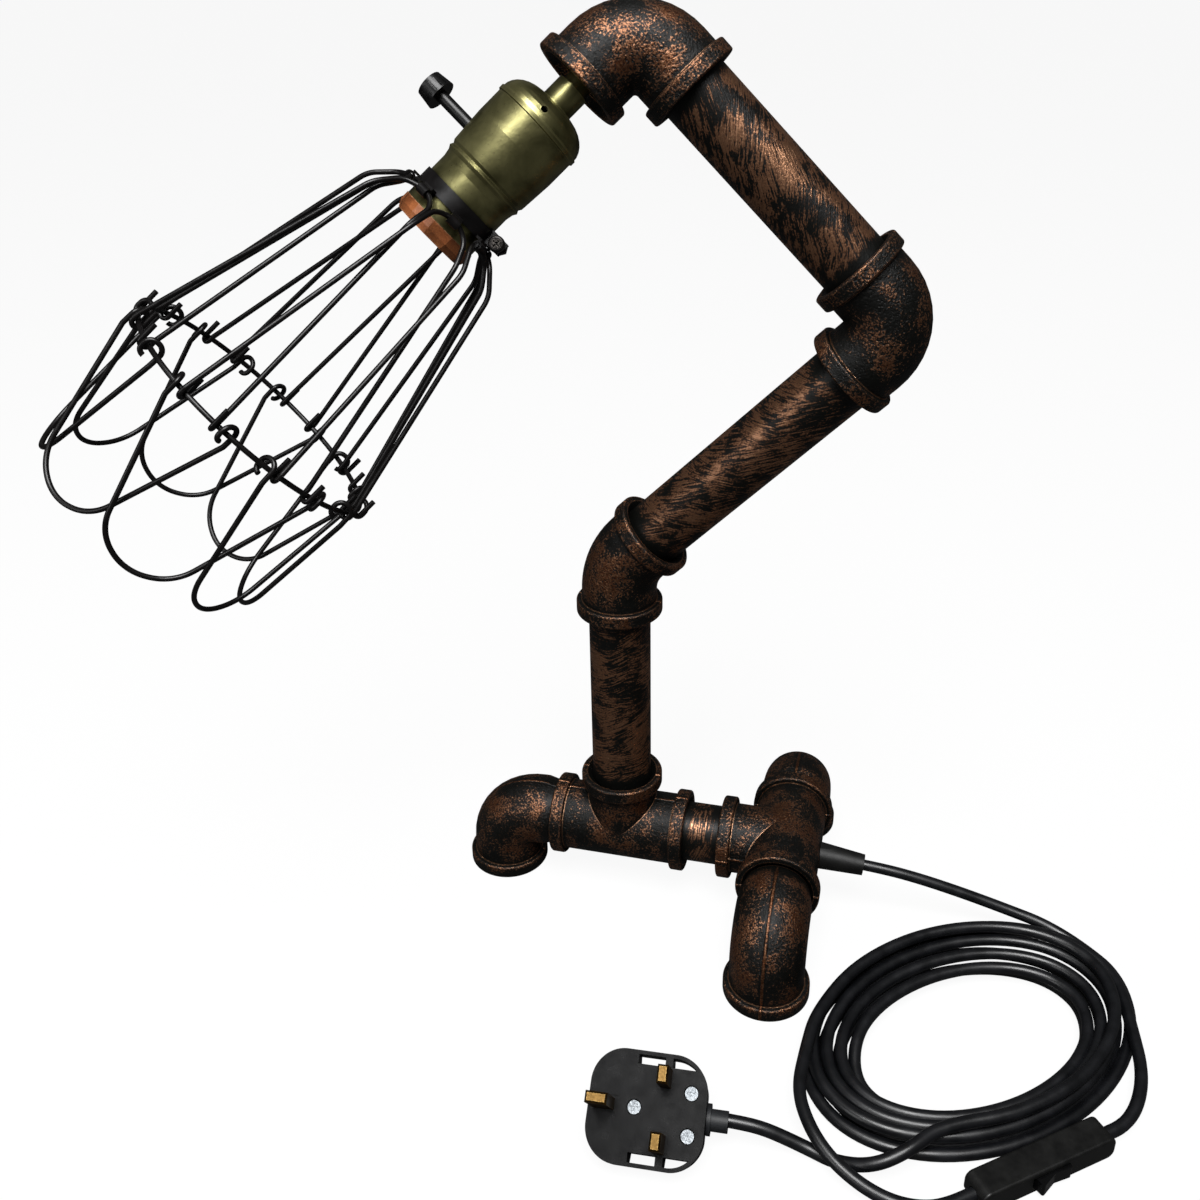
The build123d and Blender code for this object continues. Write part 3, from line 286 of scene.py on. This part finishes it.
def drawn_pipe(name, middle, axis, slant):
    """Drawn steel pipe in the same enamel, with copper lacquer put on in long slanted strokes of a dry brush.

    Strokes are noise stretched along the pipe's axis turned clockwise by the slant, as the front is seen.
    """
    material, tree, place, shader = new_material(name)
    axis = Vector(axis).normalized()
    outwards = (FRONT - axis * FRONT.dot(axis)).normalized()
    layers = []
    for turn, size in ((slant, LONG_STROKES), (slant + CROSSING, SHORT_STROKES)):
        cosine, sine = math.cos(math.radians(turn)), math.sin(math.radians(turn))
        along = axis * cosine + axis.cross(outwards) * sine
        turned = Matrix((along, outwards, along.cross(outwards))).transposed().to_euler()
        brush = add(tree, "Mapping", {"Vector": place, "Location": middle, "Rotation": turned, "Scale": size},
                    vector_type="TEXTURE").outputs[0]
        strokes = add(tree, "TexNoise", {"Vector": brush, "Scale": 1.0, "Detail": 3.0, "Roughness": 0.62,
                                         "Distortion": 0.25})
        layers.append(strokes.outputs["Fac"])
    patches = noise(tree, place, 12, detail=2, Distortion=0.6)
    speckle = noise(tree, place, 0.8, detail=2)
    which = span(tree, noise(tree, place, 20, detail=1), 0.46, 0.56)
    stroke = add(tree, "Mix", {0: which, 2: layers[0], 3: layers[1]}, data_type="FLOAT").outputs[0]
    # Less and darker copper where ambient light is blocked, next to the fittings' bands: painted shade.
    total = weigh(tree, stroke, (patches, 0.6), (speckle, 0.35), (ambient_light_reach(tree, 6), 0.7))
    lacquer = span(tree, total, 1.65, 1.78)
    tone = span(tree, total, 1.62, 1.92)
    rubbed_lacquer(tree, shader, lacquer, tone, stroke, total, 0.3)
    return material


def plain_finish(name, dark, light, roughness, grain_mm, depth_mm, metallic=0.0, wear_and_glint=None, shine=0.5):
    """A moulded, painted or plated surface: two close shades in soft clouds, with a fine grain.

    An edge colour shows along the edges: wear on screws and pins, painted highlight on the fibre ring.
    """
    material, tree, place, shader = new_material(name)
    clouds = noise(tree, place, 14 * grain_mm, detail=2)
    grain = noise(tree, place, grain_mm, detail=3)
    shades = add(tree, "Math", {0: clouds, 1: grain}, operation="MULTIPLY").outputs[0]
    colour = mix(tree, span(tree, shades, 0.1, 0.42), dark, light)
    if wear_and_glint:
        # The edge colour is wear on screws and pins and a painted highlight on the fibre ring's facet edges.
        edge_wear_and_glint = add(tree, "Math", {0: edge_share(tree), 1: grain}, operation="MULTIPLY").outputs[0]
        colour = mix(tree, span(tree, edge_wear_and_glint, 0.3, 0.6), colour, wear_and_glint)
    rough = span(tree, clouds, 0.3, 0.7, roughness - 0.06, roughness + 0.06)
    connect(tree, shader, Base_Color=colour, Roughness=rough, Metallic=metallic,
            Normal=raised(tree, grain, 0.5, depth_mm), Specular_IOR_Level=shine)
    return material


def antique_brass(name):
    """Spun brass sheet with a green-brown patina, wiped back to pale metal where it is handled."""
    material, tree, place, shader = new_material(name)
    clouds = noise(tree, place, 11, detail=3, Distortion=0.5)
    clean = weigh(tree, clouds, (edge_share(tree), 0.5), (ambient_light_reach(tree, 4), 0.6))
    colour = mix(tree, span(tree, clean, 0.75, 1.35), BRASS_DARK, BRASS_LIGHT)
    rough = span(tree, noise(tree, place, 0.8, detail=2), 0, 1, 0.24, 0.36)
    connect(tree, shader, Base_Color=colour, Roughness=rough, Metallic=0.92,
            Normal=raised(tree, clouds, 0.25, 0.6))
    return material


def dress(material, *nodes):
    """Put a material on CAD nodes or pieces."""
    for node in nodes:
        piece = frame["nodes"][node] if isinstance(node, str) else node
        piece.data.materials.clear()
        piece.data.materials.append(material)


# The radius over a fitting's band, in metres.
BAND_RADIUS = 0.01865
joints = {joint["name"]: joint for joint in frame["joints"]}
column_foot = Vector(joints["column_turn"]["pos_m"])
middle_pipe_start = Vector(joints["middle_turn"]["pos_m"])
upper_pipe_start = Vector(joints["upper_turn"]["pos_m"])
lean = Vector(joints["middle_turn"]["axis"])
rise = Vector(joints["upper_turn"]["axis"])
socket = next(mount for mount in frame["record"]["mounts"] if mount["name"] == "lamp_socket")
head_axis = Vector(socket["axis"])
UP = Vector((0, 0, 1))
base_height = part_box("rear_tee")[0].z + BAND_RADIUS
rear_tee_x = (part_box("near_foot_elbow")[0].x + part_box("near_foot_elbow")[1].x) / 2

# Malleable iron: sand cast, enamelled black and rubbed with copper, so it is pitted and coppery on what stands
# proud, with a fine parting line where the mould halves met; its dark hollows are painted shade.
dress(cast_iron("enamelled_casting_in_line", (0, COLUMN[1], 0), (0, 1, 0)),
      "front_foot_elbow", "front_tee", "lower_elbow", "middle_elbow")
dress(cast_iron("enamelled_casting_across", (rear_tee_x, 0, 0), (1, 0, 0)), "near_foot_elbow",
      "far_foot_elbow")
dress(cast_iron("enamelled_casting_level", (0, 0, base_height), (0, 0, 1)), "rear_tee")
dress(cast_iron("enamelled_casting_head", Vector(socket["pos_m"]), rise.cross(head_axis).normalized()),
      "top_elbow", "elbow_bush")
# Steel pipe: drawn smooth, enamelled black and dry brushed with copper, so slanted strokes lie over the dark.
dress(drawn_pipe("brushed_pipe_column", column_foot, UP, slant=62), "column_pipe")
dress(drawn_pipe("brushed_pipe_middle", middle_pipe_start, lean, slant=27), "middle_pipe")
dress(drawn_pipe("brushed_pipe_upper", upper_pipe_start, rise, slant=22), "upper_pipe")
dress(drawn_pipe("brushed_pipe_base", (0, 0, base_height), (1, 0, 0), slant=90), "base_nipple")

# Antique brass: spun and dipped in a patina, so it is olive in the hollows and pale where it is wiped.
dress(antique_brass("antique_brass_shell"), "socket_cap", "socket_shell", "stem_nipple")
# Soft PVC flex: extruded, so it is smooth and near black with a long soft shine along the top of each turn.
dress(plain_finish("pvc_flex_black", "08090b", "15161a", roughness=0.36, grain_mm=0.5, depth_mm=0.03,
                   shine=0.8), flex, "base_flex", "column_flex", "middle_flex", "head_flex")
# Steel wire, powder coated: sprayed on dry and baked, so it is an even satin black with thin highlights.
dress(plain_finish("powder_coated_wire", "060505", "131010", roughness=0.34, grain_mm=0.35, depth_mm=0.012),
      "cage_ring", "cage_collar", *[f"hairpin_{i}" for i in range(1, 9)],
      *[f"petal_{i}" for i in range(1, 9)])
# Blackened steel: turned and oil blackened, so it is dark and metallic with grey rubbed edges.
dress(plain_finish("blackened_steel_screw", "151414", "3a3634", roughness=0.32, grain_mm=0.3, depth_mm=0.05,
                   metallic=0.7, wear_and_glint="8a837c"), "collar_screw", "collar_nut")
# Phenolic plastic: moulded in a hot polished tool, so it is deep black with a close low shine.
dress(plain_finish("phenolic_knob_black", "060606", "0f0f0f", roughness=0.34, grain_mm=0.4, depth_mm=0.02),
      "switch_knob", "switch_stem")
# Vulcanised fibre: pressed and cut, so it is a warm red-brown; its paler corners are a painted highlight.
dress(plain_finish("pressed_fibre_ring", "8a4a26", "bd7444", roughness=0.42, grain_mm=0.5, depth_mm=0.06,
                   wear_and_glint="d9a077"), "shade_ring")
# Porcelain: cast and glazed, so it is a cream white with a wet gloss.
dress(plain_finish("glazed_porcelain", "dcd6c8", "efeae0", roughness=0.2, grain_mm=0.8, depth_mm=0.02),
      "socket_insulator")
# Rolled brass: pressed from sheet, so it is a dull yellow with a fine grain.
dress(plain_finish("rolled_brass", "6d5427", "a5854a", roughness=0.42, grain_mm=0.4, depth_mm=0.03,
                   metallic=1.0), "screw_shell", "centre_contact")
# Drawn brass: cut from bar and tumbled, so it is a brown gold that is satin all over.
dress(plain_finish("drawn_brass_pin", "3f3018", "745a33", roughness=0.38, grain_mm=0.6, depth_mm=0.05,
                   metallic=1.0, wear_and_glint="a08350"), "plug_pins")
# Zinc plated steel: plated bright over turned heads, so it is a pale cold grey with a soft sparkle.
dress(plain_finish("zinc_plated_screw", "34373a", "7c8083", roughness=0.3, grain_mm=0.6, depth_mm=0.12,
                   metallic=1.0), "terminal_screws", "plug_screws", "plug_fuse")
# Moulded rubber: matt from the tool, so it is dark and takes no sharp highlight.
dress(plain_finish("moulded_rubber", "0b0b0b", "171716", roughness=0.5, grain_mm=0.45, depth_mm=0.04),
      "strain_relief")
# Grey rubber: moulded over the flex, so it is matt and lighter than the plug.
dress(plain_finish("grey_rubber_sleeve", "1c1d1f", "2f3134", roughness=0.5, grain_mm=0.45, depth_mm=0.04),
      "plug_sleeve")
# Urea plastic: compression moulded, so it is black with a fine dry texture and soft highlights.
dress(plain_finish("moulded_urea_plug", "030304", "0b0b0c", roughness=0.32, grain_mm=0.35, depth_mm=0.06,
                   shine=0.07), "plug_face", "plug_cover")
# ABS plastic: moulded in an etched tool, so it is matt black with edges that catch a dim line of light.
dress(plain_finish("matt_switch_shell", "0d0d0d", "181817", roughness=0.42, grain_mm=0.3, depth_mm=0.03),
      "inline_base", "inline_cover")
# Polished nylon: moulded in a mirror tool, so the rocker is glossier than its housing.
dress(plain_finish("polished_rocker", "060606", "101011", roughness=0.16, grain_mm=0.5, depth_mm=0.01),
      "inline_rocker")


# ---------------------------------------------------------------- stage and light
def make_floor():
    """A flat sheet: nearly white with a tenth of its shadows to the camera, dark grey to all other rays."""
    mesh = bpy.data.meshes.new("floor")
    half = 40.0
    corners = [(-half, -half, 0), (half, -half, 0), (half, half, 0), (-half, half, 0)]
    mesh.from_pydata(corners, [], [(0, 1, 2, 3)])
    floor = bpy.data.objects.new("floor", mesh)
    bpy.context.scene.collection.objects.link(floor)
    material = bpy.data.materials.new("white_paper")
    material.use_nodes = True
    tree = material.node_tree
    tree.nodes.clear()
    rays = add(tree, "LightPath").outputs
    shade = mix(tree, rays["Is Camera Ray"], "484848", "f2f2f2")
    paper = add(tree, "BsdfDiffuse", {"Color": shade})
    glow = add(tree, "Emission", {"Color": linear("ffffff"), "Strength": 1.03})
    share = add(tree, "Math", {0: rays["Is Camera Ray"], 1: 0.9}, operation="MULTIPLY")
    both = add(tree, "MixShader", {0: share.outputs[0], 1: paper.outputs[0], 2: glow.outputs[0]})
    add(tree, "OutputMaterial", {"Surface": both.outputs[0]})
    mesh.materials.append(material)


def make_world():
    """White to the camera and through clear material, and a dim grey fill to all other rays."""
    world = bpy.data.worlds.new("studio")
    bpy.context.scene.world = world
    world.use_nodes = True
    tree = world.node_tree
    tree.nodes.clear()
    rays = add(tree, "LightPath").outputs
    seen = add(tree, "Math", {0: rays["Is Camera Ray"], 1: rays["Is Transmission Ray"]}, operation="MAXIMUM")
    strength = span(tree, seen.outputs[0], 0, 1, WORLD_FILL, 1.0)
    sky = add(tree, "Background", {"Color": linear("ffffff"), "Strength": strength})
    add(tree, "OutputWorld", {"Surface": sky.outputs[0]})


def make_softbox(name, place, target, size, watts):
    """A square lamp of soft light that faces its target."""
    light = bpy.data.lights.new(name, "AREA")
    light.shape = "SQUARE"
    light.size = size
    light.energy = watts
    lamp = bpy.data.objects.new(name, light)
    bpy.context.scene.collection.objects.link(lamp)
    lamp.location = place
    lamp.rotation_euler = (Vector(target) - Vector(place)).to_track_quat("-Z", "Y").to_euler()


WORLD_FILL = 0.055
make_floor()
make_world()
make_softbox("key", place=(0.2, -0.75, 1.6), target=(0.03, 0.0, 0.2), size=0.9, watts=30)
make_softbox("fill", place=(-1.2, -1.5, 0.9), target=(0.05, 0.0, 0.15), size=0.9, watts=5)
bpy.context.scene.view_settings.view_transform = "Standard"
